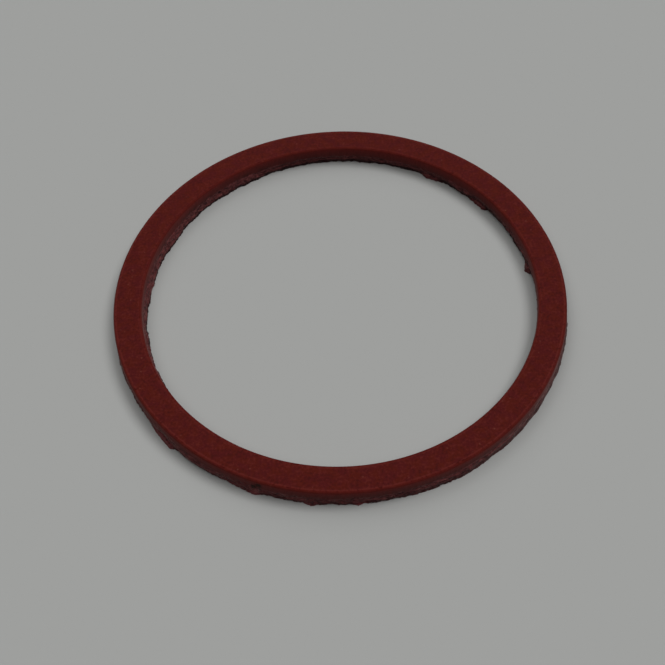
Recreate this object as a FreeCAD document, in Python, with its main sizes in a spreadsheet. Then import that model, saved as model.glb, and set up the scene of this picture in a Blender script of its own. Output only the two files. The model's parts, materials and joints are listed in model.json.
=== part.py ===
import FreeCAD, Part
import math
import os
import Sketcher

# Oil tank cap washer: a flat ring die-cut from red fibre sheet. Millimetres and degrees.
# The ring lies flat, +Z up, with the origin at the centre of the face that it rests on.
# The cutter came in from above. It rolled both top edges over and sheared a smooth land
# on each wall. The rest of the sheet tore away ply by ply, drifting to one side, which
# left a ragged lip with a few half-torn tongues at the bottom of both walls. At one
# stretch the lowest ply came away instead and left a scar under the wall.

# Driving dimensions.
SIZES = (
    ("bore_diameter", 44.45),
    ("ring_width", 3.175),
    ("sheet_thickness", 2.3),
    ("edge_rollover", 0.3),
    ("torn_height", 1.05),
    ("tear_levels", 3),
    ("outer_drift", 0.13),
    ("outer_flare", 0.15),
    ("bore_drift", 0.34),
    ("bore_flare", 0.06),
    ("raggedness", 0.08),
    ("tongue_thickness", 0.45),
    ("scar_thickness", 0.25),
    ("tongue_root", 0.6),
    ("tongue_taper", 25),
)

# Half-torn tongues: name, rim, turn, azimuth of the tip, run up to it, drop behind it, reach.
# Azimuths are seen from above. A tongue with a turn of -1 grows with falling azimuth.
TONGUES = (
    ("wedge", "outer", 1, -136.4, 12.4, 1.6, 0.54),
    ("crumb", "outer", 1, -112.6, 9.0, 1.8, 0.42),
    ("nib", "outer", 1, -99.2, 2.8, 2.4, 0.38),
    ("spur", "outer", -1, -88.4, 2.4, 0.8, 0.34),
    ("flap", "bore", 1, 58.2, 5.6, 2.6, 0.36),
    ("shelf", "bore", -1, 35.3, 9.0, 1.2, 0.36),
    ("hook", "bore", -1, 8.6, 3.4, 1.5, 0.42),
    ("fleck", "bore", -1, 170.0, 3.0, 1.6, 0.56),
)

# Where the lowest ply came away, in the same terms: its reach is how deep the scar goes.
SCARS = (
    ("scar", "outer", -1, -133.4, 13.4, 1.0, 0.24),
)

# The radius of each wall, in the sheet's terms.
WALL_SIZES = {
    "bore": "Sizes.bore_diameter / 2",
    "outer": "(Sizes.bore_diameter / 2 + Sizes.ring_width)",
}

# The outline of a tear adds up waves: how many go round the ring, and the share of each.
TEAR_WAVES = ((13, 0.3), (29, 0.35), (53, 0.35))
POINTS_PER_WAVE = 4
LEVEL_PHASE = 2.4
BORE_PHASE = 1.1

UP = FreeCAD.Vector(0, 0, 1)

doc = FreeCAD.newDocument("OilTankCapWasher")


def add_sheet():
    sheet = doc.addObject("Spreadsheet::Sheet", "Sizes")
    cells = list(SIZES)
    for name, rim, turn, azimuth, run, drop, reach in TONGUES + SCARS:
        cells.append((name + "_azimuth", azimuth))
        cells.append((name + "_run", run))
        cells.append((name + "_drop", drop))
        cells.append((name + "_reach", reach))
    for row, (alias, value) in enumerate(cells, start=1):
        sheet.set("A%d" % row, alias)
        sheet.set("B%d" % row, str(value))
        sheet.setAlias("B%d" % row, alias)
    doc.recompute()
    return sheet


def add_body(name):
    body = doc.addObject("PartDesign::Body", name)
    body.Label = name
    return body


def add_sketch(body, name, role):
    plane = [feature for feature in body.Origin.OriginFeatures if feature.Role == role][0]
    sketch = body.newObject("Sketcher::SketchObject", name)
    sketch.AttachmentSupport = [(plane, "")]
    sketch.MapMode = "FlatFace"
    return sketch


def join_ends(sketch, count):
    for index in range(count):
        following = (index + 1) % count
        sketch.addConstraint(Sketcher.Constraint("Coincident", index, 2, following, 1))


def bind(sketch, kind, places, value, name, size):
    number = sketch.addConstraint(Sketcher.Constraint(kind, *places, value))
    sketch.renameConstraint(number, name)
    sketch.setExpression("Constraints." + name, size)


def place_start(sketch, index, name, x_size, y_size):
    """Ties the start of an edge to its distances from the sketch's origin."""
    start = sketch.getPoint(index, 1)
    for axis, value, size in (("X", start.x, x_size), ("Y", start.y, y_size)):
        places = (-1, 1, index, 1) if value > 0 else (index, 1, -1, 1)
        bind(sketch, "Distance" + axis, places, abs(value), name + axis, size)


def wall_radius(rim):
    bore = sheet.bore_diameter / 2
    return bore if rim == "bore" else bore + sheet.ring_width


def outward(rim):
    """Which way a wall faces: 1 where its radius grows away from the ring, else -1."""
    return 1 if rim == "outer" else -1


def polar(radius, angle):
    return FreeCAD.Vector(radius * math.cos(angle), radius * math.sin(angle), 0)


def add_land():
    """The upper part of the ring, turned: two smooth lands under rolled-over edges."""
    body = add_body("land")
    sketch = add_sketch(body, "land_section", "XZ_Plane")
    outer = wall_radius("outer")
    bore = wall_radius("bore")
    top = sheet.sheet_thickness
    roll = sheet.edge_rollover
    foot = sheet.torn_height
    corners = [
        FreeCAD.Vector(bore, foot, 0),
        FreeCAD.Vector(outer, foot, 0),
        FreeCAD.Vector(outer, top - roll, 0),
        FreeCAD.Vector(outer - roll, top, 0),
        FreeCAD.Vector(bore + roll, top, 0),
        FreeCAD.Vector(bore, top - roll, 0),
    ]
    outer_roll = Part.Circle(FreeCAD.Vector(outer - roll, top - roll, 0), UP, roll)
    bore_roll = Part.Circle(FreeCAD.Vector(bore + roll, top - roll, 0), UP, roll)
    sketch.addGeometry(Part.LineSegment(corners[0], corners[1]))
    sketch.addGeometry(Part.LineSegment(corners[1], corners[2]))
    sketch.addGeometry(Part.ArcOfCircle(outer_roll, 0, math.pi / 2))
    sketch.addGeometry(Part.LineSegment(corners[3], corners[4]))
    sketch.addGeometry(Part.ArcOfCircle(bore_roll, math.pi / 2, math.pi))
    sketch.addGeometry(Part.LineSegment(corners[5], corners[0]))
    join_ends(sketch, 6)
    outer_wall = WALL_SIZES["outer"]
    bore_wall = WALL_SIZES["bore"]
    outer_brow = outer_wall + " - Sizes.edge_rollover"
    bore_brow = bore_wall + " + Sizes.edge_rollover"
    shoulder = "Sizes.sheet_thickness - Sizes.edge_rollover"
    place_start(sketch, 0, "bore_foot", bore_wall, "Sizes.torn_height")
    place_start(sketch, 1, "outer_foot", outer_wall, "Sizes.torn_height")
    place_start(sketch, 2, "outer_shoulder", outer_wall, shoulder)
    place_start(sketch, 3, "outer_brow", outer_brow, "Sizes.sheet_thickness")
    place_start(sketch, 4, "bore_brow", bore_brow, "Sizes.sheet_thickness")
    place_start(sketch, 5, "bore_shoulder", bore_wall, shoulder)
    bind(sketch, "Radius", (2,), roll, "outer_roll", "Sizes.edge_rollover")
    bind(sketch, "Radius", (4,), roll, "bore_roll", "Sizes.edge_rollover")
    turned = body.newObject("PartDesign::Revolution", "land_turned")
    turned.Profile = sketch
    turned.ReferenceAxis = (sketch, ["V_Axis"])
    turned.Angle = 360
    return body


def tear_outline(rim, phase, level):
    """A closed outline at one level of the tear: round at the top, ragged at the bottom."""
    share = level / tear_levels
    drift = sheet.get(rim + "_drift") * share
    flare = sheet.get(rim + "_flare") * share
    centre = FreeCAD.Vector(drift, 0, sheet.torn_height * (1 - share))
    radius = wall_radius(rim) + outward(rim) * flare
    if level == 0:
        return Part.Wire([Part.Circle(centre, UP, radius).toShape()])
    count = TEAR_WAVES[-1][0] * POINTS_PER_WAVE
    points = []
    for number in range(count):
        angle = 2 * math.pi * number / count
        wave = 0
        for turns, part in TEAR_WAVES:
            wave += part * math.sin(turns * (angle + LEVEL_PHASE * level + phase))
        points.append(centre + polar(radius + sheet.raggedness * share * wave, angle))
    curve = Part.BSplineCurve()
    curve.interpolate(points, PeriodicFlag=True)
    return Part.Wire([curve.toShape()])


def add_tear(rim, phase):
    """The space inside one torn wall, lofted down through its outlines level by level."""
    outlines = []
    for level in range(tear_levels + 1):
        outline = doc.addObject("Part::Feature", "%s_outline_%d" % (rim, level))
        outline.Shape = tear_outline(rim, phase, level)
        outline.Placement = FreeCAD.Placement()
        outlines.append(outline)
    tear = doc.addObject("Part::Loft", rim + "_tear")
    tear.Sections = outlines
    tear.Solid = True
    tear.Ruled = True
    return tear


def add_torn_band():
    """The lower part of the ring, between its two torn walls."""
    band = doc.addObject("Part::Cut", "torn_band")
    band.Base = add_tear("outer", 0)
    band.Tool = add_tear("bore", BORE_PHASE)
    return band


def draw_tear_off(sketch, name, rim, turn, side):
    """A tongue or a scar from above, tip on +X: an arc swings away from the wall's circle to
    the tip, outwards where side is 1 and inwards where it is -1, and breaks off behind it."""
    wall = wall_radius(rim)
    root = wall - side * sheet.tongue_root
    tip = wall + side * sheet.get(name + "_reach")
    run = math.radians(sheet.get(name + "_run"))
    drop = math.radians(sheet.get(name + "_drop"))
    corners = {
        "start": polar(wall, -turn * run),
        "tip": polar(tip, 0),
        "back": polar(wall, turn * drop),
        "back_root": polar(root, turn * drop),
        "start_root": polar(root, -turn * run),
    }
    order = ["start", "tip", "back", "back_root", "start_root"]
    if turn < 0:
        order = ["tip", "start", "start_root", "back_root", "back"]
    middle = polar((wall + tip) / 2, -turn * run / 2)
    sketch.addGeometry(Part.Arc(corners[order[0]], middle, corners[order[1]]))
    for corner, following in zip(order[1:], order[2:] + order[:1]):
        sketch.addGeometry(Part.LineSegment(corners[corner], corners[following]))
    join_ends(sketch, 5)

    wall_size = WALL_SIZES[rim]
    root_size = "(%s - %d * Sizes.tongue_root)" % (wall_size, side)
    tip_size = "%s + %d * Sizes.%s_reach" % (wall_size, side, name)
    run_size = "(Sizes.%s_run * 1deg)" % name
    drop_size = "(Sizes.%s_drop * 1deg)" % name
    bind(sketch, "Radius", (0,), wall, "edge", wall_size)
    sizes = {
        "start": (wall_size, run_size),
        "back": (wall_size, drop_size),
        "back_root": (root_size, drop_size),
        "start_root": (root_size, run_size),
    }
    for index, corner in enumerate(order):
        if corner == "tip":
            sketch.addConstraint(Sketcher.Constraint("PointOnObject", index, 1, -1))
            bind(sketch, "DistanceX", (-1, 1, index, 1), tip, "tipX", tip_size)
        else:
            radius_size, angle_size = sizes[corner]
            x_size = "%s * cos%s" % (radius_size, angle_size)
            y_size = "%s * sin%s" % (radius_size, angle_size)
            place_start(sketch, index, corner, x_size, y_size)


def add_tear_off(name, rim, turn, side, thickness):
    """A bevelled scrap of the lowest fibre, as thick as the cell of that name says."""
    body = add_body("torn_" + name)
    sketch = add_sketch(body, name + "_outline", "XY_Plane")
    draw_tear_off(sketch, name, rim, turn, side)
    pad = body.newObject("PartDesign::Pad", name + "_pad")
    pad.Profile = sketch
    pad.setExpression("Length", "Sizes." + thickness)
    pad.setExpression("TaperAngle", "-Sizes.tongue_taper")
    turned = FreeCAD.Rotation(UP, sheet.get(name + "_azimuth"))
    body.Placement = FreeCAD.Placement(FreeCAD.Vector(), turned)
    body.setExpression("Placement.Rotation.Angle", "Sizes.%s_azimuth * 1deg" % name)
    return body


sheet = add_sheet()
tear_levels = round(sheet.tear_levels)
pieces = [add_land(), add_torn_band()]
for name, rim, turn, azimuth, run, drop, reach in TONGUES:
    pieces.append(add_tear_off(name, rim, turn, outward(rim), "tongue_thickness"))
whole = doc.addObject("Part::MultiFuse", "whole_ring")
whole.Shapes = pieces

# a scar is a tongue's shape turned into the ring and cut away
washer = whole
for name, rim, turn, azimuth, run, drop, reach in SCARS:
    cut = doc.addObject("Part::Cut", "ring_with_" + name)
    cut.Base = washer
    cut.Tool = add_tear_off(name, rim, turn, -outward(rim), "scar_thickness")
    washer = cut
washer.Label = "fibre_washer"
washer.Placement = FreeCAD.Placement()
doc.recompute()

for item in doc.Objects:
    if "Invalid" in item.State or "Error" in item.State:
        raise RuntimeError("%s failed: %s" % (item.Label, item.State))
if washer.Shape.isNull() or not washer.Shape.isValid():
    raise RuntimeError("fibre_washer has no valid shape")
if len(washer.Shape.Solids) != 1:
    raise RuntimeError("fibre_washer is in %d solids" % len(washer.Shape.Solids))

os.makedirs("parts", exist_ok=True)
washer.Shape.Solids[0].exportStep("parts/%s.step" % washer.Label)
print("fibre_washer: %.1f cubic millimetres" % washer.Shape.Volume)
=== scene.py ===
import bmesh
import bpy
import json
import math
from mathutils import Matrix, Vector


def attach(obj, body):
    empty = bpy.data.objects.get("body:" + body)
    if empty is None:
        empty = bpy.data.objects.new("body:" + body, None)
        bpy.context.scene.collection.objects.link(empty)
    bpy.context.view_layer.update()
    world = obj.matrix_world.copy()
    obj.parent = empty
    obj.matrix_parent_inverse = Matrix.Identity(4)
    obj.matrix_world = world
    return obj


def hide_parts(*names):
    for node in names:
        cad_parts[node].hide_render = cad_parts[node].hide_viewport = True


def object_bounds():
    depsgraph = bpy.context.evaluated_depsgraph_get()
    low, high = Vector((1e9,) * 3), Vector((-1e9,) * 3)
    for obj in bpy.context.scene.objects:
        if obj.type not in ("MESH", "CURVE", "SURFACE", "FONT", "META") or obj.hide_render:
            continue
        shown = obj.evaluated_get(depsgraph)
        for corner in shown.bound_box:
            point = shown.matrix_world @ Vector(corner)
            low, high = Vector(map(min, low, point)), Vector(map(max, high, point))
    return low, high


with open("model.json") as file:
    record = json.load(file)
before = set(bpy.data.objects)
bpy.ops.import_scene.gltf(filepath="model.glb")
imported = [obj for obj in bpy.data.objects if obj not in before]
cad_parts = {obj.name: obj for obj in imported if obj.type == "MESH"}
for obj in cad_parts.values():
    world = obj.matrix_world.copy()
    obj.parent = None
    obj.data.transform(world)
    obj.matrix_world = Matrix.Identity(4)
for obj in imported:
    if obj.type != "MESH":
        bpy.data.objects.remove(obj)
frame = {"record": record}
cadLow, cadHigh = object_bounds()  # the CAD box, in metres
mm = 0.001
hair = 0.001  # a share so small that two places that close are the same
print("frame: loaded, %.2f mm thick" % (cadHigh.z / mm))


# Node trees. A Wire is one value in a tree: sums on it add Math nodes, so that a formula
# written here reads as a formula.

class Wire:
    def __init__(self, tree, socket):
        self.tree = tree
        self.socket = socket

    def __add__(self, other):
        return calc(self.tree, "ADD", self, other)

    def __radd__(self, other):
        return calc(self.tree, "ADD", other, self)

    def __sub__(self, other):
        return calc(self.tree, "SUBTRACT", self, other)

    def __rsub__(self, other):
        return calc(self.tree, "SUBTRACT", other, self)

    def __mul__(self, other):
        return calc(self.tree, "MULTIPLY", self, other)

    def __rmul__(self, other):
        return calc(self.tree, "MULTIPLY", other, self)

    def __truediv__(self, other):
        return calc(self.tree, "DIVIDE", self, other)


def plug(tree, socket, value):
    if isinstance(value, Wire):
        tree.links.new(value.socket, socket)
    else:
        socket.default_value = value


def shown(sockets, name):
    # a node keeps its other modes' sockets too, hidden under the same names
    return next(socket for socket in sockets if socket.enabled and socket.name == name)


def addNode(tree, kind, values, output=0, **settings):
    node = tree.nodes.new(kind)
    for name, setting in settings.items():
        setattr(node, name, setting)
    for name, value in values.items():
        plug(tree, shown(node.inputs, name), value)
    if isinstance(output, int):
        return Wire(tree, [socket for socket in node.outputs if socket.enabled][output])
    return Wire(tree, shown(node.outputs, output))


def calc(tree, operation, *values):
    node = tree.nodes.new("ShaderNodeMath")
    node.operation = operation
    for socket, value in zip(node.inputs, values):
        plug(tree, socket, value)
    return Wire(tree, node.outputs[0])


def vectorCalc(tree, operation, *values):
    node = tree.nodes.new("ShaderNodeVectorMath")
    node.operation = operation
    sockets = [socket for socket in node.inputs if socket.enabled]
    for socket, value in zip(sockets, values):
        plug(tree, socket, value)
    return Wire(tree, [socket for socket in node.outputs if socket.enabled][0])


def join(tree, x, y, z):
    return addNode(tree, "ShaderNodeCombineXYZ", {"X": x, "Y": y, "Z": z})


def split(tree, vector):
    node = tree.nodes.new("ShaderNodeSeparateXYZ")
    plug(tree, node.inputs[0], vector)
    return [Wire(tree, socket) for socket in node.outputs]


def within(tree, value, low, high):
    return calc(tree, "MINIMUM", calc(tree, "MAXIMUM", value, low), high)


def fade(tree, value, start, end):
    # 0 at start, 1 at end, eased at both
    return addNode(tree, "ShaderNodeMapRange",
                   {"Value": value, "From Min": start, "From Max": end},
                   interpolation_type="SMOOTHSTEP")


def inUnits(tree, vector, size):
    # the same place counted in that size
    return vectorCalc(tree, "DIVIDE", vector, join(tree, size, size, size))


def noise(tree, vector, size, detail=2.0, roughness=0.5):
    # from 0 to 1, with patches of about that size
    return addNode(tree, "ShaderNodeTexNoise",
                   {"Vector": vector, "Scale": 1 / size, "Detail": detail,
                    "Roughness": roughness})


def mixColour(tree, share, first, second):
    return addNode(tree, "ShaderNodeMix", {"Factor": share, "A": first, "B": second},
                   data_type="RGBA")


def newTree(name, kind, inputs, outputs):
    tree = bpy.data.node_groups.new(name, kind)
    for side, sockets in (("INPUT", inputs), ("OUTPUT", outputs)):
        for socketName, socketKind in sockets.items():
            tree.interface.new_socket(socketName, in_out=side,
                                      socket_type="NodeSocket" + socketKind)
    source = tree.nodes.new("NodeGroupInput")
    sink = tree.nodes.new("NodeGroupOutput")
    given = {socket.name: Wire(tree, socket) for socket in source.outputs if socket.name}
    return tree, given, sink


def useGroup(tree, group, values):
    kind = "ShaderNodeGroup" if group.type == "SHADER" else "GeometryNodeGroup"
    node = tree.nodes.new(kind)
    node.node_tree = group
    for name, value in values.items():
        plug(tree, node.inputs[name], value)
    return {socket.name: Wire(tree, socket) for socket in node.outputs}


def tidyTree(tree):
    # columns from the last node back, so that the tree can be read in the editor
    column = {node: 0 for node in tree.nodes}
    for _ in range(len(tree.nodes)):
        moved = False
        for link in tree.links:
            if column[link.from_node] < column[link.to_node] + 1:
                column[link.from_node] = column[link.to_node] + 1
                moved = True
        if not moved:
            break
    rows = {}
    for node in tree.nodes:
        rows[column[node]] = rows.get(column[node], 0) + 1
        node.location = (-220 * column[node], -200 * rows[column[node]])


def endWithMix(tree, kind, share, first, second):
    # one shader over another, by that share, as what the tree puts out
    mix = tree.nodes.new("ShaderNodeMixShader")
    for socket, value in zip(mix.inputs, (share, first, second)):
        plug(tree, socket, value)
    output = tree.nodes.new(kind)
    tree.links.new(mix.outputs[0], output.inputs["Surface"])
    tidyTree(tree)


# Camera and stage.

cameraSetup = {
    "place": (-0.00098, -0.07977, 0.10602),  # metres
    "tilt": 35.56,  # degrees from looking straight down
    "roll": -3.06,
    "lens": 62.96,  # mm, as the sensor
    "sensor": 36,
    "nearest": 0.002,  # metres again
    "furthest": 10.0,
}


def makeCamera():
    data = bpy.data.cameras.new("camera")
    data.lens = cameraSetup["lens"]
    data.sensor_width = cameraSetup["sensor"]
    data.clip_start = cameraSetup["nearest"]
    data.clip_end = cameraSetup["furthest"]
    camera = bpy.data.objects.new("camera", data)
    bpy.context.scene.collection.objects.link(camera)
    camera.matrix_world = (
        Matrix.Translation(cameraSetup["place"])
        @ Matrix.Rotation(math.radians(cameraSetup["tilt"]), 4, "X")
        @ Matrix.Rotation(math.radians(cameraSetup["roll"]), 4, "Z")
    )
    bpy.context.scene.camera = camera


lightSetup = {
    # azimuth from +X towards +Y, elevation and width in degrees, and the share of the light
    # on the floor; the world gives the rest, and the lamp below only reaches the bottom face
    "lamps": {
        "keyLamp": (21.0, 61.0, 29.0, 0.36),
        "fillLamp": (107.5, 43.5, 44.0, 0.145),
        "overheadLamp": (0.0, 90.0, 82.0, 0.41),
        "underLamp": (0.0, -90.0, 20.0, 0.8),
    },
    "white": (1.0, 1.0, 1.0, 1.0),
    "backdrop": (0.342, 0.346, 0.338, 1.0),
}


def makeLights():
    worldShare = 1.0
    for name, (azimuth, elevation, width, share) in lightSetup["lamps"].items():
        height = math.radians(elevation)
        lampData = bpy.data.lights.new(name, "SUN")
        lampData.energy = math.pi * share / abs(math.sin(height))
        lampData.angle = math.radians(width)
        lamp = bpy.data.objects.new(name, lampData)
        lamp.rotation_euler = (0, math.pi / 2 - height, math.radians(azimuth))
        bpy.context.scene.collection.objects.link(lamp)
        worldShare -= share if elevation > 0 else 0

    world = bpy.data.worlds.new("studio")
    world.use_nodes = True
    bpy.context.scene.world = world
    tree = world.node_tree
    tree.nodes.clear()
    path = tree.nodes.new("ShaderNodeLightPath")
    seen = Wire(tree, path.outputs["Is Camera Ray"])
    for ray in ("Is Glossy Ray", "Is Transmission Ray"):
        seen = calc(tree, "MAXIMUM", seen, Wire(tree, path.outputs[ray]))
    light = addNode(tree, "ShaderNodeBackground", {"Color": lightSetup["white"],
                                                   "Strength": worldShare})
    backdrop = addNode(tree, "ShaderNodeBackground", {"Color": lightSetup["backdrop"]})
    endWithMix(tree, "ShaderNodeOutputWorld", seen, light, backdrop)


floorSetup = {
    "radius": 2.5,
    "below": 0.02 * mm,  # under the washer's bottom face, so that the two don't fight
    "contact": 0.1 * mm,  # light passes the floor from that near, to reach the bottom face
    "steps": 128,
}


def makeFloor():
    mesh = bmesh.new()
    bmesh.ops.create_circle(mesh, cap_ends=True, radius=floorSetup["radius"],
                            segments=floorSetup["steps"],
                            matrix=Matrix.Translation((0, 0, -floorSetup["below"])))
    data = bpy.data.meshes.new("floor")
    mesh.to_mesh(data)
    mesh.free()
    floor = bpy.data.objects.new("floor", data)
    bpy.context.scene.collection.objects.link(floor)

    material = bpy.data.materials.new("paleFloor")
    material.use_nodes = True
    tree = material.node_tree
    tree.nodes.clear()
    matte = addNode(tree, "ShaderNodeBsdfDiffuse", {"Color": lightSetup["backdrop"]})
    clear = addNode(tree, "ShaderNodeBsdfTransparent", {})
    # clear to whoever looks from below, and to the light between it and the bottom face
    side = addNode(tree, "ShaderNodeNewGeometry", {}, "Backfacing")
    path = tree.nodes.new("ShaderNodeLightPath")
    near = calc(tree, "LESS_THAN", Wire(tree, path.outputs["Ray Length"]),
                floorSetup["contact"])
    through = calc(tree, "MAXIMUM", side * Wire(tree, path.outputs["Is Camera Ray"]), near)
    endWithMix(tree, "ShaderNodeOutputMaterial", through, matte, clear)
    data.materials.append(material)


mounts = {mount["name"]: mount["dims"] for mount in frame["record"]["mounts"]}
boreRadius = mounts["bore"]["r_mm"] * mm
outerRadius = mounts["rim"]["r_mm"] * mm
edgeRoll = 0.3 * mm  # how far the punch drew both upper edges over
makeCamera()
makeLights()
makeFloor()
bpy.context.scene.view_settings.view_transform = "Standard"
print("stage: camera, lights and floor made")


# Shared effects for the fibre materials.

def buildMottle():
    # broad cloudy patches with finer ones over them, about 0.5 on average
    tree, given, sink = newTree("fibreMottle", "ShaderNodeTree",
                                {"Position": "Vector", "Patch Size": "Float",
                                 "Broad Share": "Float", "Contrast": "Float"},
                                {"Mottle": "Float"})
    place = inUnits(tree, given["Position"], given["Patch Size"])
    broad = noise(tree, place, 3.2, 2.0)  # their sizes are counted in patches
    fine = noise(tree, place, 0.8, 4.0, 0.6)
    grey = fine + (broad - fine) * given["Broad Share"] - 0.5
    plug(tree, sink.inputs["Mottle"], within(tree, grey * given["Contrast"] + 0.5, 0, 1))
    tidyTree(tree)
    return tree


def buildSpecks():
    # small pale dots, a few of the cells of a net
    tree, given, sink = newTree("fibreSpecks", "ShaderNodeTree",
                                {"Position": "Vector", "Spacing": "Float", "Amount": "Float",
                                 "Dot Size": "Float"},
                                {"Specks": "Float"})
    cells = tree.nodes.new("ShaderNodeTexVoronoi")
    plug(tree, cells.inputs["Vector"], inUnits(tree, given["Position"], given["Spacing"]))
    plug(tree, cells.inputs["Scale"], 1.0)
    chance = split(tree, Wire(tree, cells.outputs["Color"]))[0]
    chosen = calc(tree, "LESS_THAN", chance, given["Amount"])
    far = Wire(tree, cells.outputs["Distance"]) / given["Dot Size"]
    plug(tree, sink.inputs["Specks"], chosen * (1 - fade(tree, far, 0.5, 1.0)))
    tidyTree(tree)
    return tree


def buildNap():
    # the height of the matted fibres in metres, fine grain over a slow swell
    tree, given, sink = newTree("fibreNap", "ShaderNodeTree",
                                {"Position": "Vector", "Grain Size": "Float", "Depth": "Float"},
                                {"Height": "Float"})
    place = inUnits(tree, given["Position"], given["Grain Size"])
    grain = noise(tree, place, 1.0, 3.0, 0.6)
    swell = noise(tree, place, 5.0, 1.0)
    height = grain + swell * 1.5 - 1.25  # about 0 on average
    plug(tree, sink.inputs["Height"], height * given["Depth"])
    tidyTree(tree)
    return tree


# Bands round the rolled edges, in shares of the roll: u goes in from the wall and v up from
# the top of the land, to 1 at the face.
edgeBands = {
    "crestInner": (0.45, 0.85),  # of u: the worn line with its painted highlight rises here,
    "crestOuter": (1.15, 1.5),  # and ends here,
    "crestUp": (0.0, 0.5),  # and it leaves the land here, of v
    "bendUp": (0.0, 0.35),  # of v: the bend between the land and the crest starts here,
    "bendIn": (0.35, 0.75),  # and ends here, of u
    "wallUp": (0.0, 0.5),  # of v: the land's grey ends here
    "boreCrest": 0.5,  # how much of the crest's wear and painted highlight the bore has
}


def buildEdges():
    # masks from the true place on the ring: the worn crest with its painted highlight, the bend
    # under it, and the wall
    tree, given, sink = newTree("fibreEdges", "ShaderNodeTree",
                                {"Position": "Vector", "Bore Radius": "Float",
                                 "Outer Radius": "Float", "Face Height": "Float",
                                 "Edge Roll": "Float"},
                                {"Crest": "Float", "Bend": "Float", "Wall": "Float"})
    x, y, z = split(tree, given["Position"])
    radius = calc(tree, "SQRT", x * x + y * y)
    inset = calc(tree, "MINIMUM", radius - given["Bore Radius"], given["Outer Radius"] - radius)
    u = inset / given["Edge Roll"]
    v = (z - given["Face Height"]) / given["Edge Roll"] + 1
    crest = fade(tree, u, *edgeBands["crestInner"]) * (1 - fade(tree, u, *edgeBands["crestOuter"]))
    bend = fade(tree, v, *edgeBands["bendUp"]) * (1 - fade(tree, u, *edgeBands["bendIn"]))
    bore = calc(tree, "LESS_THAN", radius * 2, given["Bore Radius"] + given["Outer Radius"])
    crest = crest * (1 - bore * (1 - edgeBands["boreCrest"]))
    plug(tree, sink.inputs["Crest"], crest * fade(tree, v, *edgeBands["crestUp"]))
    plug(tree, sink.inputs["Bend"], bend)
    plug(tree, sink.inputs["Wall"], 1 - fade(tree, v, *edgeBands["wallUp"]))
    tidyTree(tree)
    return tree


def readAttribute(tree, name):
    return addNode(tree, "ShaderNodeAttribute", {}, "Fac", attribute_name=name)


def newMaterial(name):
    material = bpy.data.materials.new(name)
    material.use_nodes = True
    tree = material.node_tree
    tree.nodes.clear()
    shader = tree.nodes.new("ShaderNodeBsdfPrincipled")
    output = tree.nodes.new("ShaderNodeOutputMaterial")
    tree.links.new(shader.outputs[0], output.inputs["Surface"])
    position = addNode(tree, "ShaderNodeTexCoord", {}, "Object")
    return material, tree, shader, position


fibreReds = {
    "Warm": (0.0655, 0.0052, 0.002, 1.0),
    "Cool": (0.06, 0.0042, 0.0042, 1.0),
    "Dark": (0.0445, 0.0026, 0.0016, 1.0),
    "Pale": (0.083, 0.01, 0.0074, 1.0),
    "Speck": (0.11, 0.026, 0.018, 1.0),
    # wear and painted highlight: the paler red of the crest line along the rolled edges
    "Worn Highlight": (0.09, 0.0115, 0.0088, 1.0),
    # partly wear, partly painted light: a lighter, greyer red on the bend under the crest
    "Bend Worn And Lit": (0.104, 0.014, 0.011, 1.0),
    "Bent Share": 0.5,
    "Tint Size": 1.1 * mm,
    "Patch Size": 0.36 * mm,
    "Broad Share": 0.3,
    "Contrast": 3.5,
    "Speck Spacing": 0.42 * mm,
    "Speck Amount": 0.07,
    "Speck Size": 0.3,
}
# Where each change of colour begins and ends, in the clouds of the tint or in the mottle.
redBands = {
    "tint": (0.35, 0.65),
    "dark": (0.0, 0.5),
    "pale": (0.5, 1.0),
    "speck": (0.2, 0.8),
    "wornHighlight": (0.0, 0.65),
}


def buildFibreRed():
    # the colour of the sheet's skin: mottled, specked, paler along the crest for wear and a
    # painted highlight, and lighter on the bend under it, partly wear and partly painted light
    inputs = {name: "Float" if isinstance(value, float) else "Color"
              for name, value in fibreReds.items()}
    inputs.update({"Position": "Vector", "Crest": "Float", "Bend": "Float"})
    tree, given, sink = newTree("fibreRed", "ShaderNodeTree", inputs,
                                {"Red": "Color", "Mottle": "Float"})
    mottle = useGroup(tree, mottleGroup, {
        "Position": given["Position"], "Patch Size": given["Patch Size"],
        "Broad Share": given["Broad Share"], "Contrast": given["Contrast"]})["Mottle"]
    specks = useGroup(tree, speckGroup, {
        "Position": given["Position"], "Spacing": given["Speck Spacing"],
        "Amount": given["Speck Amount"], "Dot Size": given["Speck Size"]})["Specks"]
    tinted = noise(tree, inUnits(tree, given["Position"], given["Tint Size"]), 1.0, 2.0)
    red = mixColour(tree, fade(tree, tinted, *redBands["tint"]), given["Warm"], given["Cool"])
    red = mixColour(tree, fade(tree, mottle, *redBands["dark"]), given["Dark"], red)
    red = mixColour(tree, fade(tree, mottle, *redBands["pale"]), red, given["Pale"])
    specked = specks * fade(tree, mottle, *redBands["speck"])
    red = mixColour(tree, specked, red, given["Speck"])
    # the crest paled for wear and a painted highlight, in patches of the mottle
    wornHighlight = given["Crest"] * fade(tree, mottle, *redBands["wornHighlight"])
    red = mixColour(tree, wornHighlight, red, given["Worn Highlight"])
    # the bend under the crest lightened, partly for wear and partly as painted light
    red = mixColour(tree, given["Bend"] * given["Bent Share"], red, given["Bend Worn And Lit"])
    plug(tree, sink.inputs["Red"], red)
    plug(tree, sink.inputs["Mottle"], mottle)
    tidyTree(tree)
    return tree


# Marks on the near wall, each spot by its middle and its reach in mm: soil under the edge, and
# a bared pale patch on the crumb of fibre below it.
fibreMarks = {
    "soil": {
        "colour": (0.01, 0.0032, 0.0012, 1.0),
        "share": 0.9,
        "spots": ((-9.32, -23.65, 1.6, 0.55), (-9.86, -23.46, 1.15, 0.42)),
    },
    "pale": {
        "colour": (0.2, 0.068, 0.066, 1.0),
        "share": 0.8,
        "spots": ((-9.67, -23.81, 0.5, 0.46),),
    },
}


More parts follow.
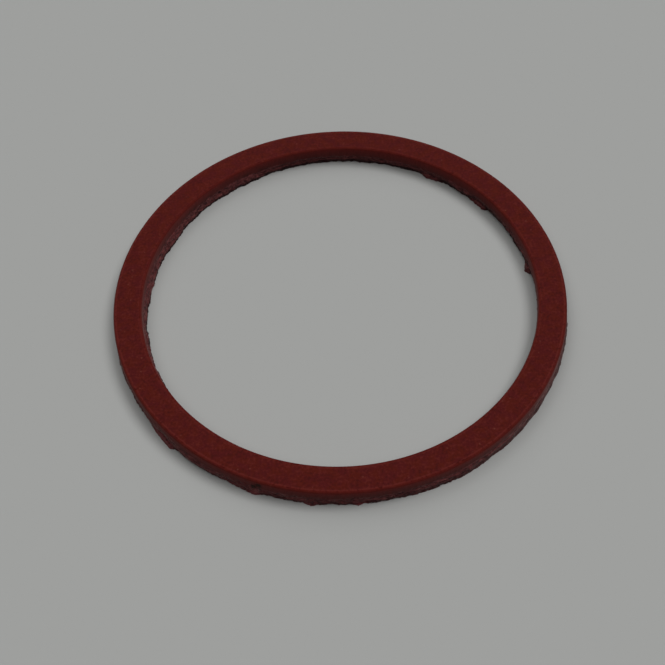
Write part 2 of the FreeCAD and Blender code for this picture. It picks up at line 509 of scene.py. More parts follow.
def buildSpot():
    # 1 in the middle of a spot, with an uneven border
    tree, given, sink = newTree("fibreSpot", "ShaderNodeTree",
                                {"Position": "Vector", "Middle": "Vector", "Reach": "Float"},
                                {"Mask": "Float"})
    gap = vectorCalc(tree, "DISTANCE", given["Position"], given["Middle"])
    place = inUnits(tree, given["Position"], given["Reach"])
    far = gap / given["Reach"] + noise(tree, place, 0.4, 2.0) - 0.5
    plug(tree, sink.inputs["Mask"], 1 - fade(tree, far, 0.3, 1.0))
    tidyTree(tree)
    return tree


def addMarks(tree, position, colour):
    for mark in fibreMarks.values():
        for x, y, z, reach in mark["spots"]:
            mask = useGroup(tree, spotGroup, {
                "Position": position, "Middle": (x * mm, y * mm, z * mm),
                "Reach": reach * mm})["Mask"]
            colour = mixColour(tree, mask * mark["share"], colour, mark["colour"])
    return colour


def addBump(tree, shader, height):
    plug(tree, shader.inputs["Normal"],
         addNode(tree, "ShaderNodeBump", {"Strength": 1.0, "Distance": 1.0, "Height": height}))


def napHeight(tree, position, look):
    return useGroup(tree, napGroup, {"Position": position, "Grain Size": look["grainSize"],
                                     "Depth": look["grainDepth"]})["Height"]


def mottledRoughness(look, mottle):
    return look["roughness"] + (mottle - 0.5) * look["roughnessSpread"]


def setFinish(shader, look):
    # what is the same all over a surface stays on the shader's own sockets
    shader.inputs["Specular IOR Level"].default_value = look["gloss"]
    if "fuzz" in look:
        shader.inputs["Sheen Weight"].default_value = look["fuzz"]
        shader.inputs["Sheen Tint"].default_value = look["fuzzTint"]


def paintSkin(tree, position):
    # the skin's colour and mottle, and where it gives way to the land
    edges = useGroup(tree, edgeGroup, {
        "Position": position, "Bore Radius": boreRadius, "Outer Radius": outerRadius,
        "Face Height": cadHigh.z, "Edge Roll": edgeRoll})
    skin = useGroup(tree, redGroup, dict(fibreReds, Position=position, Crest=edges["Crest"],
                                         Bend=edges["Bend"]))
    return skin, edges["Wall"]


faceFibre = {
    "grainSize": 0.2 * mm,
    "grainDepth": 0.012 * mm,
    "roughness": 0.85,
    "roughnessSpread": 0.1,
    "gloss": 0.1,
}


def makeFaceFibre():
    # the two flat faces
    look = faceFibre
    material, tree, shader, position = newMaterial("redFibreFace")
    skin, _ = paintSkin(tree, position)
    plug(tree, shader.inputs["Base Color"], skin["Red"])
    plug(tree, shader.inputs["Roughness"], mottledRoughness(look, skin["Mottle"]))
    setFinish(shader, look)
    addBump(tree, shader, napHeight(tree, position, look))
    tidyTree(tree)
    return material


shearedFibre = {
    "high": (0.136, 0.0172, 0.0152, 1.0),  # the land's colour near the edge
    "deep": (0.1, 0.0188, 0.0178, 1.0),
    "highAndDeep": (2.05 * mm, 1.15 * mm),  # above the floor
    "scored": (0.05, 0.009, 0.0085, 1.0),
    "scoredShare": 0.45,
    "scoreSize": 0.12 * mm,
    "scoreSquash": 0.12,  # of the height, which draws the scores out up the wall
    "scoreFade": (0.7, 0.3),
    "scoreDepth": 0.004 * mm,
    "grainSize": 0.2 * mm,
    "grainDepth": 0.008 * mm,
    "roughness": 0.6,
    "roughnessSpread": 0.2,
    "gloss": 0.02,
    "fuzz": 0.06,
    "fuzzTint": (1.0, 0.76, 0.7, 1.0),
}


def makeShearedFibre():
    # the rolled edges, which turn from the skin's red to the grey sheen of the lands
    look = shearedFibre
    material, tree, shader, position = newMaterial("redFibreSheared")
    skin, sheared = paintSkin(tree, position)
    x, y, z = split(tree, position)
    scores = noise(tree, join(tree, x, y, z * look["scoreSquash"]), look["scoreSize"], 2.0)
    wall = mixColour(tree, fade(tree, z, *look["highAndDeep"]), look["high"], look["deep"])
    scored = look["scoredShare"] * fade(tree, scores, *look["scoreFade"])
    wall = mixColour(tree, scored, wall, look["scored"])
    colour = addMarks(tree, position, mixColour(tree, sheared, skin["Red"], wall))
    plug(tree, shader.inputs["Base Color"], colour)
    plug(tree, shader.inputs["Roughness"], mottledRoughness(look, skin["Mottle"]))
    setFinish(shader, look)
    nap = napHeight(tree, position, look)
    addBump(tree, shader, nap + scores * sheared * look["scoreDepth"])
    tidyTree(tree)
    return material


tornFibre = {
    "red": (0.093, 0.022, 0.0225, 1.0),
    "dark": (0.03, 0.0076, 0.0094, 1.0),
    "darkFade": (0.0, 0.5),  # the first three fades are in the mottle
    "pale": (0.165, 0.046, 0.045, 1.0),
    "paleFade": (0.55, 1.0),
    "tongueRed": (0.14, 0.03, 0.034, 1.0),
    "tongueFade": (0.2, 0.6),
    "tongueShares": (0.7, 0.15),  # outside and in the bore
    # painted shade: the torn wall darkened near the floor, standing in for the shade under the lip
    # and in the undercut
    "foot": (0.006, 0.0024, 0.0034, 1.0),
    "footShadeShares": (0.5, 0.85),  # how strong the painted shade at the foot is outside and in the bore
    "footShadeHeight": 0.36 * mm,
    "footShadeLean": 0.6,  # how much higher the painted shade at the foot reaches towards +X, where the bore is undercut
    "footShadePatches": 1.2 * mm,
    "footShadeFade": (0.6, 1.4),  # of its height
    "tongueShadeCut": 0.8,  # how much less of the painted shade at the foot a tongue has
    "patchSize": 0.2 * mm,
    "layering": 3,  # how much flatter than long the patches are
    "broadShare": 0.6,
    "contrast": 3.4,
    "grainSize": 0.09 * mm,
    "grainDepth": 0.016 * mm,
    "roughness": 0.95,
    "gloss": 0.1,
    "fuzz": 0.16,  # the sheen of fine fibres seen along the wall
    "fuzzTint": (0.9, 0.8, 0.74, 1.0),
}


def makeTornFibre():
    # the torn lip and its shreds: rough, with plies of uneven colour and painted shade along the
    # foot
    look = tornFibre
    material, tree, shader, position = newMaterial("redFibreTorn")
    x, y, z = split(tree, position)
    layered = join(tree, x, y, z * look["layering"])
    mottle = useGroup(tree, mottleGroup, {
        "Position": layered, "Patch Size": look["patchSize"],
        "Broad Share": look["broadShare"], "Contrast": look["contrast"]})["Mottle"]
    dark = mixColour(tree, fade(tree, mottle, *look["darkFade"]), look["dark"], look["red"])
    colour = mixColour(tree, fade(tree, mottle, *look["paleFade"]), dark, look["pale"])
    inBore = calc(tree, "LESS_THAN", calc(tree, "SQRT", x * x + y * y),
                  (boreRadius + outerRadius) / 2)
    tongueShare, footShadeShare = [outside + (inside - outside) * inBore
                              for outside, inside in (look["tongueShares"], look["footShadeShares"])]
    tongue = readAttribute(tree, "tongue")
    onTongue = tongue * fade(tree, mottle, *look["tongueFade"])
    colour = mixColour(tree, onTongue * tongueShare, colour, look["tongueRed"])
    # painted shade along the foot of the torn wall: patchy, deeper in the bore and higher towards
    # +X
    uneven = noise(tree, join(tree, x, y, 0.0), look["footShadePatches"], 4.0, 0.6) * 2  # about 1
    footShadeTop = look["footShadeHeight"] * uneven * (1 + x * (look["footShadeLean"] / outerRadius))
    low = (1 - fade(tree, z / footShadeTop, *look["footShadeFade"])) * (1 - tongue * look["tongueShadeCut"])
    colour = mixColour(tree, low * footShadeShare, colour, look["foot"])
    plug(tree, shader.inputs["Base Color"], addMarks(tree, position, colour))
    shader.inputs["Roughness"].default_value = look["roughness"]
    setFinish(shader, look)
    addBump(tree, shader, napHeight(tree, position, look))
    tidyTree(tree)
    return material


mottleGroup = buildMottle()
speckGroup = buildSpecks()
napGroup = buildNap()
redGroup = buildFibreRed()
edgeGroup = buildEdges()
spotGroup = buildSpot()
faceMaterial = makeFaceFibre()
shearedMaterial = makeShearedFibre()
tornMaterial = makeTornFibre()
print("materials: red fibre as face, sheared land and torn lip")


# The washer: one section swept round the ring, torn ply by ply under its smooth lands.

washer = {
    "thickness": cadHigh.z,
    "edgeRoll": edgeRoll,
    "tornHeight": cadHigh.z - edgeRoll - mounts["bore"]["length_mm"] * mm,
    "stepsRound": 1400,
    "rollSteps": 5,  # rows on each rolled edge
    "landSteps": 2,
    "faceSteps": 4,  # rows across the top and the bottom
    "crease": 50,  # degrees; sharper bends than that aren't shaded smooth
}

torn = {
    "levels": 3,  # the outlines that the tear follows down, and how they differ
    "outerDrift": 0.13 * mm,
    "outerFlare": 0.15 * mm,
    "boreDrift": 0.34 * mm,
    "boreFlare": 0.06 * mm,
    "raggedness": 0.08 * mm,
    "waves": ((13, 0.3), (29, 0.35), (53, 0.35)),  # how many go round, and each one's share
    "levelPhase": 2.4,
    "borePhase": 1.1,
    "plies": 7,
    "plyGap": 0.012 * mm,  # the height of the step between two plies
    # each one's depth, and the length of its patches along the wall
    "plyStep": 0.27 * mm, "plyPatch": 0.62 * mm,
    "grain": 0.1 * mm, "grainPatch": 0.16 * mm,
    "bite": 0.13 * mm, "bitePatch": 2.2 * mm, "biteFade": (0.55, 0.72),
    "sway": 0.08 * mm, "swayPatch": 0.9 * mm,
    "wander": 0.42 * mm, "wanderPatch": 1.3 * mm,  # of the line where the smooth land ends
    "recess": 0.03 * mm,  # of the tear behind the land
    "onset": 3,  # how soon all this is in full under the land, the higher the sooner
    "scarCalm": 0.75,  # how much less ragged the wall is over a scar
    "scarRim": 0.08 * mm,  # the depth at which it is that calm
    "plySpread": 3.7 * mm,  # between the noise of one ply and the next
    "seed": 7.0,
}

# Nicks in the rolled edges. The places are in shares of the edge roll.
nickShape = {
    "depth": 0.025 * mm,
    "patch": 1.7 * mm,
    "fade": (0.6, 0.85),
    "inward": (0.4, 1.1),  # from the wall: full to the first, none from the second
    "under": (1.3, 0.5),  # the face: none below the first, full above the second
    "wear": 0.15,  # of their depth, all along the edge
    "sink": 0.6,  # how far they go down, for each step that they go in
}

# Half-torn tongues: rim, turn, azimuth of the tip, run up to it, drop behind it, reach in mm,
# and how much of the reach is broken away here and there.
tongues = {
    "wedge": ("outer", 1, -136.4, 12.4, 1.6, 0.54, 0.3),
    "crumb": ("outer", 1, -112.6, 9.0, 1.8, 0.42, 0.8),
    "nib": ("outer", 1, -99.2, 2.8, 2.4, 0.38, 0.5),
    "spur": ("outer", -1, -88.4, 2.6, 1.6, 0.36, 0.5),
    "flap": ("bore", 1, 58.2, 5.6, 2.6, 0.36, 0.8),
    "shelf": ("bore", -1, 36.2, 9.0, 1.2, 0.27, 1.1),
    "hook": ("bore", -1, 8.6, 3.4, 1.5, 0.42, 0.5),
    "fleck": ("bore", -1, 170.0, 3.0, 1.6, 0.56, 0.8),
}
# Where the lowest ply came away instead, in the same terms.
scars = {
    "scar": ("outer", -1, -133.4, 13.4, 1.0, 0.24, 0.0),
}
tongueShape = {
    "thickness": 0.45 * mm,
    "scarThickness": 0.25 * mm,
    "taper": 25.0,  # degrees
    "breakPatch": 0.7 * mm,
    "breakSquash": 0.5,  # of the height, which draws those patches out up the wall
    "unbroken": 0.6,  # the noise at which a tongue has just its given reach
    "markGain": 3,  # how soon its own colour is full, the higher the sooner
}
# Where the tear stands further out from its circle, or back from it: rim, azimuth, half
# width in degrees, and how far in mm.
swells = (
    ("outer", -164.0, 8.0, 0.1),
    ("outer", -144.0, 4.0, 0.12),
    ("outer", -129.0, 11.0, 0.24),
    ("outer", -115.0, 6.0, 0.16),
    ("outer", -63.0, 14.0, 0.14),
    ("bore", 19.0, 16.0, 0.16),
    ("bore", 46.0, 7.0, 0.24),
    ("bore", 66.0, 9.0, 0.07),
    ("bore", 98.0, 18.0, -0.09),
    ("bore", 119.0, 14.0, 0.12),
    ("bore", 150.0, 6.0, 0.16),
    ("bore", 170.0, 10.0, 0.14),
    ("bore", 184.0, 6.0, -0.14),
)
# Where it is cleaner: rim, azimuth, half width, and the share of its raggedness that is gone.
cleanParts = (
    ("outer", -36.0, 44.0, 0.75),
    ("outer", -142.0, 12.0, 0.6),
)

shreds = {
    "perSquareMillimetre": 1.6,
    "length": 0.34 * mm,
    "width": 0.055 * mm,
    "tip": 0.15,  # of the width
    "root": 0.35,  # of the length, by which its middle is sunk
    "sides": 5,
    "segments": 3,
    "lean": 0.55,  # how far they stand off the wall
    # between which shares chance sets each one's lean, rise, width both ways and length
    "leans": (0.1, 1.0),
    "rises": (-0.35, 0.2),
    "sizes": ((0.35, 1.2), (0.5, 1.3), (0.4, 1.35)),
    "clumpPatch": 1.6 * mm,
    "clumpFade": (0.35, 0.65),
    "topFade": (0.75, 0.95),  # of the torn height
    "steepFade": (0.1, 0.4),  # they grow on steep faces only
    "seed": 11,
}


def tornRows():
    # heights up the torn wall: each ply has a foot, a middle and a head
    rows = []
    height = washer["tornHeight"] / torn["plies"]
    for ply in range(torn["plies"]):
        foot = ply * height + (torn["plyGap"] / 2 if ply else 0)
        head = (ply + 1) * height - (torn["plyGap"] / 2 if ply < torn["plies"] - 1 else 0)
        rows += [foot, (foot + head) / 2, head]
    return rows


def drawSection():
    # X is the radius and Y the height; up the outer wall, over the top, down the bore
    roll = washer["edgeRoll"]
    top = washer["thickness"]
    shoulder = top - roll
    land = shoulder - washer["tornHeight"]
    points = [(outerRadius, row) for row in tornRows()]
    for step in range(1, washer["landSteps"]):
        points.append((outerRadius, washer["tornHeight"] + land * step / washer["landSteps"]))
    for step in range(washer["rollSteps"] + 1):
        angle = math.pi / 2 * step / washer["rollSteps"]
        points.append((outerRadius - roll + roll * math.cos(angle),
                       shoulder + roll * math.sin(angle)))
    width = outerRadius - boreRadius
    half = list(points)
    for step in range(1, washer["faceSteps"]):
        share = step / washer["faceSteps"]
        points.append((outerRadius - roll - (width - 2 * roll) * share, top))
    points += [(boreRadius + outerRadius - radius, height) for radius, height in reversed(half)]
    for step in range(1, washer["faceSteps"]):
        points.append((boreRadius + width * step / washer["faceSteps"], 0))

    data = bpy.data.meshes.new("washerSection")
    edges = [(index, (index + 1) % len(points)) for index in range(len(points))]
    data.from_pydata([(x, y, 0) for x, y in points], edges, [])
    return bpy.data.objects.new("washerSection", data)


def buildTearOutline():
    # one level of the tear: a ragged circle that drifts to one side
    names = ("Azimuth", "Level", "Levels", "Radius", "Flare", "Drift", "Raggedness", "Phase")
    tree, given, sink = newTree("tearOutline", "GeometryNodeTree",
                                {name: "Float" for name in names}, {"X": "Float", "Y": "Float"})
    share = given["Level"] / given["Levels"]
    turned = given["Azimuth"] + torn["levelPhase"] * given["Level"] + given["Phase"]
    wave = 0
    for turns, part in torn["waves"]:
        wave = wave + part * calc(tree, "SINE", turns * turned)
    radius = given["Radius"] + share * (given["Flare"] + given["Raggedness"] * wave)
    east = calc(tree, "COSINE", given["Azimuth"])
    north = calc(tree, "SINE", given["Azimuth"])
    plug(tree, sink.inputs["X"], given["Drift"] * share + radius * east)
    plug(tree, sink.inputs["Y"], radius * north)
    tidyTree(tree)
    return tree


def buildTongue():
    # how far one tongue reaches past its wall at an azimuth: a slow rise and a quick drop
    names = ("Azimuth", "Tip", "Turn", "Run", "Drop", "Reach", "Break Up", "Break")
    tree, given, sink = newTree("halfTornTongue", "GeometryNodeTree",
                                {name: "Float" for name in names}, {"Reach": "Float"})
    away = calc(tree, "WRAP", given["Azimuth"] - given["Tip"], math.pi, -math.pi)
    past = given["Turn"] * away
    rise = past / given["Run"] + 1
    fall = 1 - past / given["Drop"]
    share = calc(tree, "MAXIMUM", calc(tree, "MINIMUM", rise, fall), 0)
    whole = 1 + given["Break Up"] * given["Break"]
    plug(tree, sink.inputs["Reach"], given["Reach"] * share * whole)
    tidyTree(tree)
    return tree


def buildTornPlies():
    # the fine raggedness: plies that end at different depths, grain, and torn-out bites
    names = ("X", "Y", "Height", "Ply Height", "Ply Step", "Grain", "Bite", "Seed")
    tree, given, sink = newTree("tornPlies", "GeometryNodeTree",
                                {name: "Float" for name in names}, {"Offset": "Float"})
    ply = calc(tree, "FLOOR", given["Height"] / given["Ply Height"])
    spread = given["Seed"] * mm + ply * torn["plySpread"]
    layered = join(tree, given["X"], given["Y"], spread)
    solid = join(tree, given["X"], given["Y"], given["Height"])
    steps = noise(tree, layered, torn["plyPatch"], 4.0, 0.65) - 0.5
    grain = noise(tree, solid, torn["grainPatch"], 2.0) - 0.5
    clumps = fade(tree, noise(tree, layered, torn["bitePatch"], 2.0), *torn["biteFade"])
    offset = 2 * given["Ply Step"] * steps + 2 * given["Grain"] * grain - given["Bite"] * clumps
    plug(tree, sink.inputs["Offset"], offset)
    tidyTree(tree)
    return tree


def capture(tree, geometry, value, kind):
    node = tree.nodes.new("GeometryNodeCaptureAttribute")
    node.capture_items.new(kind, "kept")
    plug(tree, node.inputs[0], geometry)
    plug(tree, node.inputs[1], value)
    return Wire(tree, node.outputs[0]), Wire(tree, node.outputs[1])


def keep(tree, geometry, name, value):
    return addNode(tree, "GeometryNodeStoreNamedAttribute",
                   {"Geometry": geometry, "Name": name, "Value": value},
                   data_type="FLOAT", domain="POINT")


def furthestReach(tree, rim, bearing, broken, scraps):
    # the reach of whichever tongue or scar of this rim is at this azimuth
    reach = 0.0
    for scrapRim, turn, tip, run, drop, length, breakUp in scraps.values():
        if scrapRim == rim:
            here = useGroup(tree, tongueGroup, {
                "Azimuth": bearing, "Tip": math.radians(tip), "Turn": turn,
                "Run": math.radians(run), "Drop": math.radians(drop),
                "Reach": length * mm, "Break Up": breakUp, "Break": broken})["Reach"]
            reach = calc(tree, "MAXIMUM", here, reach)
    return reach


def sumHats(tree, rim, bearing, hats):
    # smooth hats round the rim, added up
    total = 0.0
    for hatRim, middle, halfWidth, size in hats:
        if hatRim == rim:
            away = calc(tree, "ABSOLUTE", calc(tree, "WRAP", bearing - math.radians(middle),
                                               math.pi, -math.pi))
            total = total + size * (1 - fade(tree, away, 0.0, math.radians(halfWidth)))
    return total


def tornWall(tree, given, rim, azimuth, height, level):
    # where the wall of one rim lies at this azimuth and height, as X and Y
    outward = 1 if rim == "outer" else -1
    radius, flare, drift = [given[rim.capitalize() + size]
                            for size in (" Radius", " Flare", " Drift")]
    above = calc(tree, "FLOOR", level)
    ends = []
    for step in (above, above + 1):
        ends.append(useGroup(tree, tearGroup, {
            "Azimuth": azimuth, "Level": step, "Levels": given["Tear Levels"],
            "Radius": radius, "Flare": outward * flare, "Drift": drift,
            "Raggedness": given["Raggedness"],
            "Phase": 0.0 if rim == "outer" else torn["borePhase"]}))
    part = level - above
    x = ends[0]["X"] + (ends[1]["X"] - ends[0]["X"]) * part
    y = ends[0]["Y"] + (ends[1]["Y"] - ends[0]["Y"]) * part

    bearing = calc(tree, "ARCTAN2", y, x)
    bevel = height * given["Tongue Slope"]
    drawnOut = join(tree, x, y, height * tongueShape["breakSquash"])
    broken = noise(tree, drawnOut, tongueShape["breakPatch"], 3.0, 0.6) - tongueShape["unbroken"]
    pushed = calc(tree, "SQRT", x * x + y * y) * outward
    distance = pushed * outward
    pushed = pushed + sumHats(tree, rim, bearing, swells) * mm * within(tree, level, 0, 1)

    # a tongue stands out past the wall's circle, and a scar goes in behind it
    reach = furthestReach(tree, rim, bearing, broken, tongues)
    onTongue = (calc(tree, "LESS_THAN", height, given["Tongue Thickness"])
                * calc(tree, "GREATER_THAN", reach, 0.0))
    lip = radius * outward + reach - bevel
    pushed = pushed + onTongue * calc(tree, "MAXIMUM", lip - pushed, 0)
    mark = reach / given["Tongue Thickness"] * tongueShape["markGain"]
    onTongue = onTongue * within(tree, mark, 0, 1)
    calm = 1 - sumHats(tree, rim, bearing, cleanParts)
    if any(scar[0] == rim for scar in scars.values()):
        depth = furthestReach(tree, rim, bearing, broken, scars)
        inScar = (calc(tree, "LESS_THAN", height, given["Scar Thickness"])
                  * calc(tree, "GREATER_THAN", depth, bevel))
        back = radius * outward - depth + bevel
        pushed = pushed - inScar * calc(tree, "MAXIMUM", pushed - back, 0)
        calm = calm - given["Scar Calm"] * within(tree, depth / torn["scarRim"], 0, 1)

    ragged = useGroup(tree, plyGroup, {
        "X": x, "Y": y, "Height": height, "Ply Height": given["Ply Height"],
        "Ply Step": given["Ply Step"], "Grain": given["Grain"], "Bite": given["Bite"],
        "Seed": given["Seed"]})["Offset"]
    onset = within(tree, level * torn["onset"], 0, 1)
    pushed = pushed + (ragged * calm - given["Recess"]) * onset
    scale = pushed * outward / distance
    return x * scale, y * scale, onTongue


def scatterShreds(tree, given, mesh):
    # slivers of fibre that lie along the torn walls, their roots sunk in them
    place = addNode(tree, "GeometryNodeInputPosition", {})
    normal = addNode(tree, "GeometryNodeInputNormal", {})
    steep = 1 - calc(tree, "ABSOLUTE", split(tree, normal)[2])
    low = 1 - fade(tree, split(tree, place)[2] / given["Torn Height"], *shreds["topFade"])
    clumps = noise(tree, place, shreds["clumpPatch"], 1.0)
    chance = low * fade(tree, steep, *shreds["steepFade"])
    chance = chance * fade(tree, clumps, *shreds["clumpFade"])
    spots = tree.nodes.new("GeometryNodeDistributePointsOnFaces")
    plug(tree, spots.inputs["Mesh"], mesh)
    plug(tree, shown(spots.inputs, "Density"), chance * given["Shred Density"])
    plug(tree, spots.inputs["Seed"], given["Shred Seed"])
    wallNormal = Wire(tree, spots.outputs["Normal"])

    def chanceOf(low, high, seed):
        return addNode(tree, "FunctionNodeRandomValue",
                       {"Min": low, "Max": high, "Seed": seed}, data_type="FLOAT")

    along = vectorCalc(tree, "CROSS_PRODUCT", wallNormal, (0, 0, 1))
    way = calc(tree, "SIGN", chanceOf(-1.0, 1.0, 1))
    lean = given["Shred Lean"] * chanceOf(*shreds["leans"], 2)
    x, y, z = split(tree, along)
    normalX, normalY, normalZ = split(tree, wallNormal)
    heading = join(tree, x * way + normalX * lean, y * way + normalY * lean,
                   chanceOf(*shreds["rises"], 3))
    turned = addNode(tree, "FunctionNodeAlignRotationToVector", {"Vector": heading}, axis="Z")
    sliver = addNode(tree, "GeometryNodeMeshCone", {
        "Vertices": shreds["sides"], "Side Segments": shreds["segments"],
        "Radius Top": given["Shred Width"] * shreds["tip"],
        "Radius Bottom": given["Shred Width"], "Depth": given["Shred Length"]})
    sunk = join(tree, 0.0, 0.0, given["Shred Length"] * -shreds["root"])
    sliver = addNode(tree, "GeometryNodeTransform", {"Geometry": sliver, "Translation": sunk})
    size = join(tree, *[chanceOf(*shares, seed)
                        for seed, shares in enumerate(shreds["sizes"], 4)])
    placed = addNode(tree, "GeometryNodeInstanceOnPoints", {
        "Points": Wire(tree, spots.outputs["Points"]), "Instance": sliver,
        "Rotation": turned, "Scale": size})
    real = addNode(tree, "GeometryNodeRealizeInstances", {"Geometry": placed})
    return keep(tree, real, "torn", 1.0)


def sweepSection(tree, given):
    # also puts out where on the section and how far round each point is
    circle = addNode(tree, "GeometryNodeCurvePrimitiveCircle",
                     {"Resolution": given["Steps Round"], "Radius": 1.0})
    number = addNode(tree, "GeometryNodeInputIndex", {})
    circle, number = capture(tree, circle, number, "FLOAT")
    outline = addNode(tree, "GeometryNodeObjectInfo", {"Object": given["Section"]}, "Geometry")
    outline = addNode(tree, "GeometryNodeMeshToCurve", {"Mesh": outline})
    place = addNode(tree, "GeometryNodeInputPosition", {})
    outline, place = capture(tree, outline, place, "VECTOR")
    swept = addNode(tree, "GeometryNodeCurveToMesh", {"Curve": circle, "Profile Curve": outline})
    swept = addNode(tree, "GeometryNodeFlipFaces", {"Mesh": swept})  # so that they face outwards
    azimuth = number / given["Steps Round"] * (2 * math.pi)
    radial, height, _ = split(tree, place)
    return swept, azimuth, radial, height


def finishMesh(tree, given, mesh):
    # keeps it all inside the solid's box, shades it, and gives each mark its material
    place = addNode(tree, "GeometryNodeInputPosition", {})
    boxed = vectorCalc(tree, "MINIMUM",
                       vectorCalc(tree, "MAXIMUM", place, given["Box Low"]), given["Box High"])
    mesh = addNode(tree, "GeometryNodeSetPosition", {"Geometry": mesh, "Position": boxed})
    bend = addNode(tree, "GeometryNodeInputMeshEdgeAngle", {}, "Unsigned Angle")
    gentle = addNode(tree, "FunctionNodeCompare",
                     {"A": bend, "B": math.radians(washer["crease"])},
                     data_type="FLOAT", operation="LESS_THAN")
    mesh = addNode(tree, "GeometryNodeSetShadeSmooth",
                   {"Geometry": mesh, "Shade Smooth": gentle}, domain="EDGE")
    mesh = addNode(tree, "GeometryNodeRealizeInstances", {"Geometry": mesh})
    mesh = addNode(tree, "GeometryNodeSetMaterial",
                   {"Geometry": mesh, "Material": given["Face Fibre"]})
    # one marked corner makes a face an edge, and all of them make it torn
    for name, least, fibre in (("edge", 0.1, "Sheared Fibre"), ("torn", 0.99, "Torn Fibre")):
        mark = addNode(tree, "GeometryNodeInputNamedAttribute", {"Name": name},
                       data_type="FLOAT")
        chosen = addNode(tree, "FunctionNodeCompare", {"A": mark, "B": least},
                         data_type="FLOAT", operation="GREATER_THAN")
        mesh = addNode(tree, "GeometryNodeSetMaterial",
                       {"Geometry": mesh, "Selection": chosen, "Material": given[fibre]})
    return mesh


def buildWasher(inputs):
    kinds = {name: kind for kind, named in inputs.items() for name in named}
    tree, given, sink = newTree("fibreWasher", "GeometryNodeTree", kinds,
                                {"Washer": "Geometry"})
    swept, azimuth, radial, height = sweepSection(tree, given)

    # both walls at this height; a point between them goes its own share of the way
    drop = 1 - height / given["Torn Height"]
    level = within(tree, drop * given["Tear Levels"], 0, given["Tear Levels"])
    boreX, boreY, boreTongue = tornWall(tree, given, "bore", azimuth, height, level)
    outerX, outerY, outerTongue = tornWall(tree, given, "outer", azimuth, height, level)
    share = (radial - given["Bore Radius"]) / (given["Outer Radius"] - given["Bore Radius"])
    x = boreX + (outerX - boreX) * share
    y = boreY + (outerY - boreY) * share

    # the line under the land wanders, the plies sway, and the floor side stays flat
    flat = join(tree, x, y, 0.0)
    inBand = calc(tree, "LESS_THAN", height, given["Torn Height"] * (1 + hair))
    upBand = inBand * height / given["Torn Height"]
    wander = noise(tree, flat, torn["wanderPatch"], 3.0, 0.6) - 0.5
    sway = noise(tree, join(tree, x, y, height), torn["swayPatch"], 2.0) - 0.5
    rise = upBand * (2 * given["Wander"] * wander + 2 * given["Sway"] * sway)

    # small nicks along the rolled edges
    width = given["Outer Radius"] - given["Bore Radius"]
    inset = calc(tree, "MINIMUM", share, 1 - share) * width
    lowest, full = [given["Thickness"] - given["Edge Roll"] * under
                    for under in nickShape["under"]]
    brow = 1 - fade(tree, inset / given["Edge Roll"], *nickShape["inward"])
    brow = brow * fade(tree, height, lowest, full)
    nicks = fade(tree, noise(tree, flat, nickShape["patch"], 4.0, 0.65), *nickShape["fade"])
    pressed = given["Nick"] * brow * (nicks + nickShape["wear"])
    side = calc(tree, "SIGN", share - 0.5)
    pull = 1 - pressed * side / radial
    moved = join(tree, x * pull, y * pull, height + rise - pressed * nickShape["sink"])
    mesh = addNode(tree, "GeometryNodeSetPosition", {"Geometry": swept, "Position": moved})

    # marks for the materials; the bottom face keeps the skin of the sheet
    onWall = calc(tree, "LESS_THAN", inset / given["Edge Roll"], hair)
    mesh = keep(tree, mesh, "torn", inBand * onWall)
    mesh = keep(tree, mesh, "tongue", boreTongue + (outerTongue - boreTongue) * share)
    onEdge = (calc(tree, "LESS_THAN", inset / given["Edge Roll"], 1 - hair)
              * calc(tree, "GREATER_THAN", height, given["Torn Height"] / 2))
    mesh = keep(tree, mesh, "edge", onEdge)

    shredMesh = scatterShreds(tree, given, mesh)
    both = tree.nodes.new("GeometryNodeJoinGeometry")
    tree.links.new(shredMesh.socket, both.inputs[0])
    tree.links.new(mesh.socket, both.inputs[0])
    plug(tree, sink.inputs["Washer"], finishMesh(tree, given, Wire(tree, both.outputs[0])))
    tidyTree(tree)
    return tree


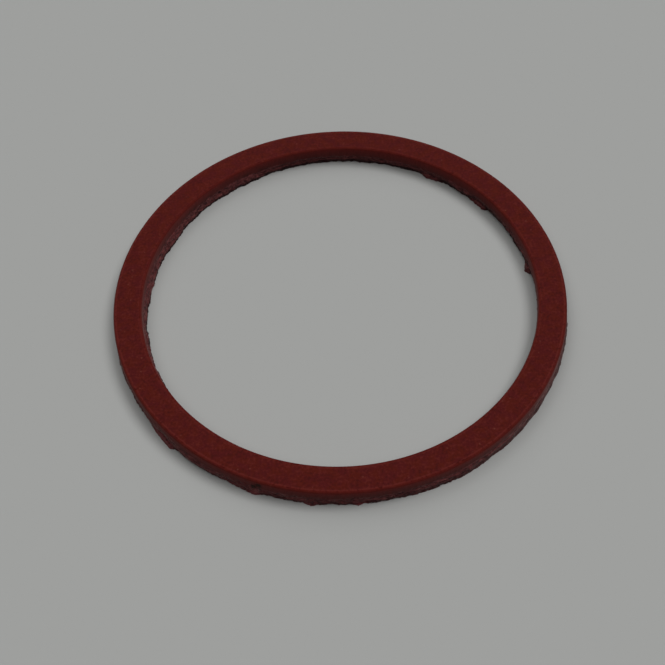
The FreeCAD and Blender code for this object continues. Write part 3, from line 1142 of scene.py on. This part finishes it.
def listInputs(section):
    # what the washer's tree is given, by kind and name
    return {
        "Object": {"Section": section},
        "Int": {"Steps Round": washer["stepsRound"], "Shred Seed": shreds["seed"]},
        "Vector": {"Box Low": tuple(cadLow), "Box High": tuple(cadHigh)},
        "Material": {"Face Fibre": faceMaterial, "Sheared Fibre": shearedMaterial,
                     "Torn Fibre": tornMaterial},
        "Float": {
            "Bore Radius": boreRadius, "Outer Radius": outerRadius,
            "Thickness": washer["thickness"], "Edge Roll": washer["edgeRoll"],
            "Torn Height": washer["tornHeight"], "Tear Levels": float(torn["levels"]),
            "Outer Drift": torn["outerDrift"], "Outer Flare": torn["outerFlare"],
            "Bore Drift": torn["boreDrift"], "Bore Flare": torn["boreFlare"],
            "Raggedness": torn["raggedness"], "Recess": torn["recess"],
            "Ply Height": washer["tornHeight"] / torn["plies"], "Ply Step": torn["plyStep"],
            "Grain": torn["grain"], "Bite": torn["bite"], "Sway": torn["sway"],
            "Wander": torn["wander"], "Nick": nickShape["depth"], "Seed": torn["seed"],
            "Tongue Thickness": tongueShape["thickness"],
            "Tongue Slope": math.tan(math.radians(tongueShape["taper"])),
            "Scar Thickness": tongueShape["scarThickness"], "Scar Calm": torn["scarCalm"],
            "Shred Density": shreds["perSquareMillimetre"] / mm ** 2,
            "Shred Length": shreds["length"], "Shred Width": shreds["width"],
            "Shred Lean": shreds["lean"],
        },
    }


def makeWasher():
    section = drawSection()
    inputs = listInputs(section)
    carrier = bpy.data.objects.new("washerCarrier", bpy.data.meshes.new("washerCarrier"))
    bpy.context.scene.collection.objects.link(carrier)
    modifier = carrier.modifiers.new("fibreWasher", "NODES")
    modifier.node_group = buildWasher(inputs)
    values = {name: value for named in inputs.values() for name, value in named.items()}
    for socket in modifier.node_group.interface.items_tree:
        if socket.in_out == "INPUT":
            modifier[socket.identifier] = values[socket.name]

    graph = bpy.context.evaluated_depsgraph_get()
    data = bpy.data.meshes.new_from_object(carrier.evaluated_get(graph))
    data.name = "red_fibre_ring"
    ring = bpy.data.objects.new("red_fibre_ring", data)
    bpy.context.scene.collection.objects.link(ring)
    bpy.data.objects.remove(carrier)
    bpy.data.objects.remove(section)
    return ring


tearGroup = buildTearOutline()
tongueGroup = buildTongue()
plyGroup = buildTornPlies()
ring = makeWasher()
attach(ring, "root")
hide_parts("fibre_washer")
ring.data.calc_loop_triangles()
print("washer: %d triangles" % len(ring.data.loop_triangles))
